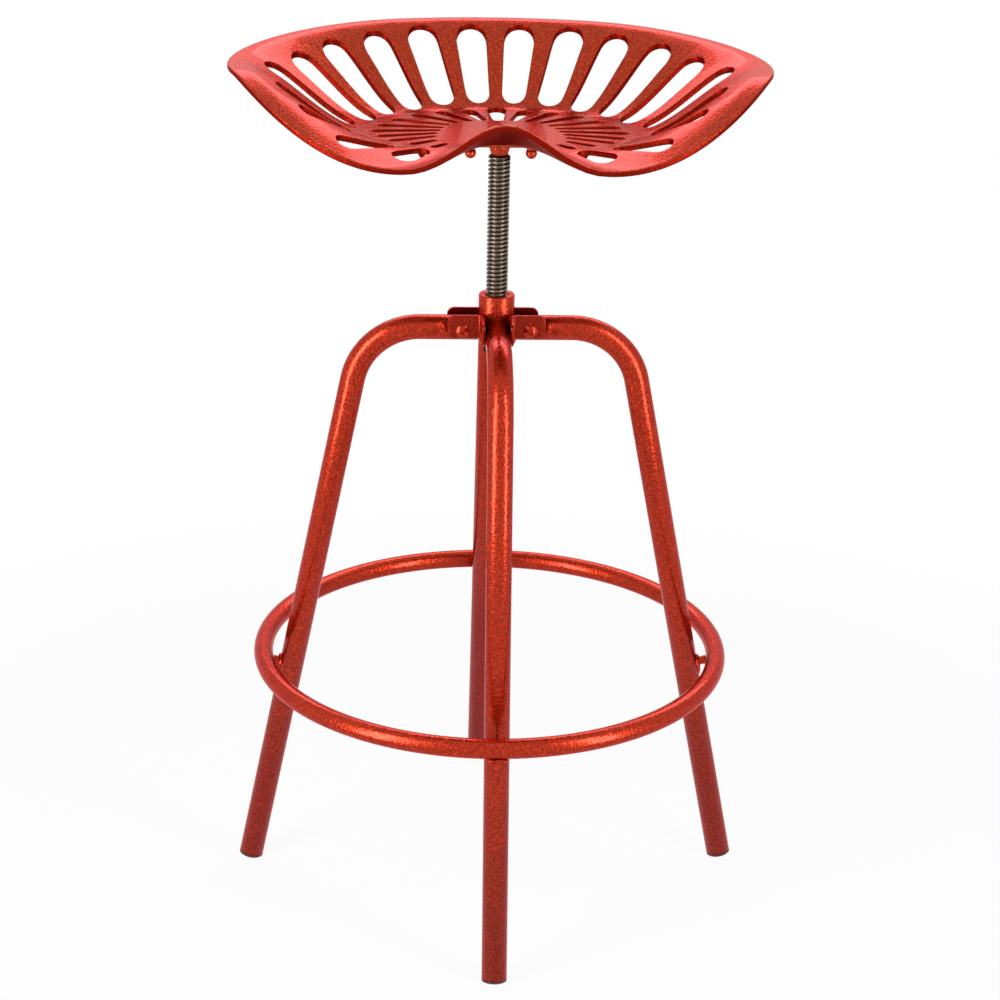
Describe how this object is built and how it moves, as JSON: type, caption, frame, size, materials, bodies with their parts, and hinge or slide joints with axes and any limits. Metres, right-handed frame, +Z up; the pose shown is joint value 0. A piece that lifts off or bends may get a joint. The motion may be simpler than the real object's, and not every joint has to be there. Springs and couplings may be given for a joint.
{
  "type": "tractor seat stool",
  "caption": "Height-adjustable stool: a pierced dished metal seat on a vertical screw, in a bolted hub of bent tube legs with a round footrest ring.",
  "frame": {"origin": "on the floor under the screw's axis", "axes": "+Z up along the screw; the seat's notched front faces -Y; the legs run along +X, -X, +Y and -Y"},
  "size_m": [0.5404, 0.5404, 0.8868],
  "materials": {
    "seat_paint": "glossy hammered red enamel on cast metal",
    "frame_paint": "glossy hammered red enamel on steel tube",
    "screw_steel": "oiled dark steel thread with brighter crests",
    "plain_steel": "blackened steel",
    "foot_plastic": "black moulded plastic"
  },
  "bodies": {
    "frame": {"hub_nut": "frame_paint", "hub_bolts": "frame_paint", "hub_bolt_nuts": "frame_paint", "hub_welds": "frame_paint", "ring_welds": "frame_paint", "bracket_back_right": "frame_paint", "bracket_back_left": "frame_paint", "bracket_front_left": "frame_paint", "bracket_front_right": "frame_paint", "footrest_ring": "frame_paint", "leg_right": "frame_paint", "ring_bar_right": "frame_paint", "foot_plug_right": "foot_plastic", "leg_back": "frame_paint", "ring_bar_back": "frame_paint", "foot_plug_back": "foot_plastic", "leg_left": "frame_paint", "ring_bar_left": "frame_paint", "foot_plug_left": "foot_plastic", "leg_front": "frame_paint", "ring_bar_front": "frame_paint", "foot_plug_front": "foot_plastic"},
    "lift": {"stop_washer": "plain_steel"},
    "seat": {"seat_pan": "seat_paint", "seat_plate": "seat_paint", "neck": "seat_paint", "seat_screws": "seat_paint", "seat_washers": "seat_paint", "threaded_screw": "screw_steel", "stop_screw": "plain_steel"}
  },
  "joints": [
    {"name": "seat_height", "type": "slide", "parent": "frame", "child": "lift", "axis": [0, 0, 1], "range_m": [-0.1411, 0.0056]},
    {"name": "seat_turn", "type": "hinge", "parent": "lift", "child": "seat", "pos_m": [0, 0, 0.6175], "axis": [0, 0, 1], "range_deg": [-11990, 465]}
  ],
  "couplings": [
    {"joint": "seat_height", "follows": "seat_turn", "m_per_rad": 0.00067376}
  ]
}
